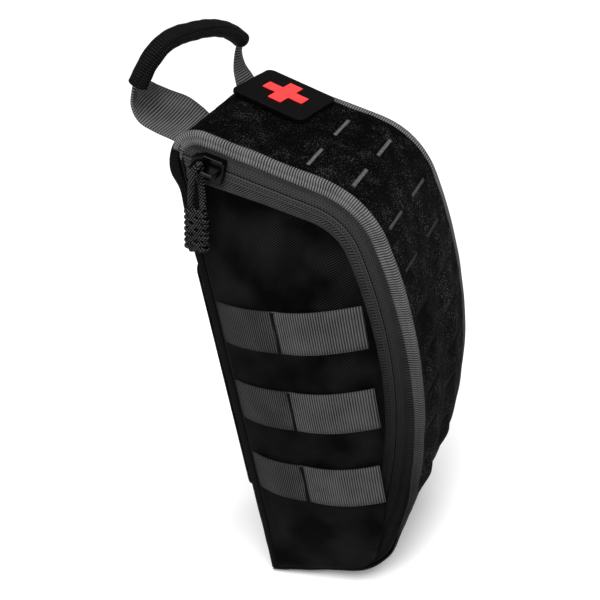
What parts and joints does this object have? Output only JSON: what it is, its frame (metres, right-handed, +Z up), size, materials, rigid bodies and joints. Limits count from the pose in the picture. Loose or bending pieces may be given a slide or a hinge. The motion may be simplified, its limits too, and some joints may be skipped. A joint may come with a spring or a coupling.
{
  "type": "first aid pouch",
  "caption": "Half-teardrop zip-open medical pouch with a slotted loop-faced spine, webbing rows, a cord zip pull, a wrapped carry handle and a removable cross patch.",
  "frame": {"origin": "centre of the outer face of the hook-and-loop pad on the pouch's back", "axes": "+Z up the flat back, +Y out of the back towards what the pouch is stuck to, -X out of the zipped door"},
  "size_m": [0.1132, 0.1372, 0.3382],
  "materials": {
    "black_nylon": "woven nylon",
    "lining": "plain lining cloth",
    "stiffener": "sheet inside the wall",
    "hook_pile": "hook-and-loop pile",
    "loop_laminate": "napped loop face",
    "foam": "closed foam between the cloths",
    "grey_webbing": "ribbed nylon webbing",
    "grey_binding": "ribbed binding tape",
    "black_binding": "plain binding tape",
    "zip_tape": "herringbone zip tape",
    "slider_black": "gloss black",
    "black_cord": "braided cord",
    "grip_black": "tubular sleeve",
    "patch_black": "embroidered patch",
    "patch_red": "satin stitch"
  },
  "bodies": {
    "shell": {"back_panel": "black_nylon", "back_stiffener": "stiffener", "back_lining": "lining", "hook_pad": "hook_pile", "spine_face": "loop_laminate", "spine_foam": "foam", "spine_lining": "lining", "far_side_panel": "black_nylon", "far_webbing_1": "grey_webbing", "far_webbing_2": "grey_webbing", "far_webbing_3": "grey_webbing", "edge_binding_near": "grey_binding", "edge_binding_far": "grey_binding", "back_binding_near": "black_binding", "back_binding_far": "black_binding", "side_tab": "grey_binding", "zip_tape_shell": "zip_tape"},
    "door": {"door_panel": "black_nylon", "door_lining": "lining", "door_webbing_1": "grey_webbing", "door_webbing_2": "grey_webbing", "door_webbing_3": "grey_webbing", "zip_tape_door": "zip_tape"},
    "slider": {"slider_body": "slider_black", "slider_bridge": "slider_black"},
    "pull": {"pull_cord": "black_cord", "cord_knot": "black_cord"},
    "handle": {"handle_strap_near": "grey_webbing", "handle_strap_far": "grey_webbing", "grip_sleeve": "grip_black", "grip_core": "stiffener"},
    "patch": {"patch_base": "patch_black", "patch_cross": "patch_red"}
  },
  "joints": [
    {"name": "door_hinge", "type": "hinge", "parent": "shell", "child": "door", "pos_m": [-0.0466, -0.0099, 0.003], "axis": [0, 0, -1], "range_deg": [0, 90]},
    {"name": "zip_slide", "type": "slide", "parent": "door", "child": "slider", "axis": [0, -0.9128, -0.4085], "range_m": [0, 0.038]},
    {"name": "pull_swing", "type": "hinge", "parent": "slider", "child": "pull", "pos_m": [-0.0577, -0.027, 0.13647], "axis": [0, 0.9128, 0.4085], "range_deg": [0, 150]},
    {"name": "handle_fold", "type": "hinge", "parent": "shell", "child": "handle", "pos_m": [0, -0.0064, 0.1486], "axis": [1, 0, 0], "range_deg": [-33, 18]},
    {"name": "patch_peel", "type": "slide", "parent": "shell", "child": "patch", "axis": [0, -0.4085, 0.9128], "range_m": [0, 0.012]}
  ]
}
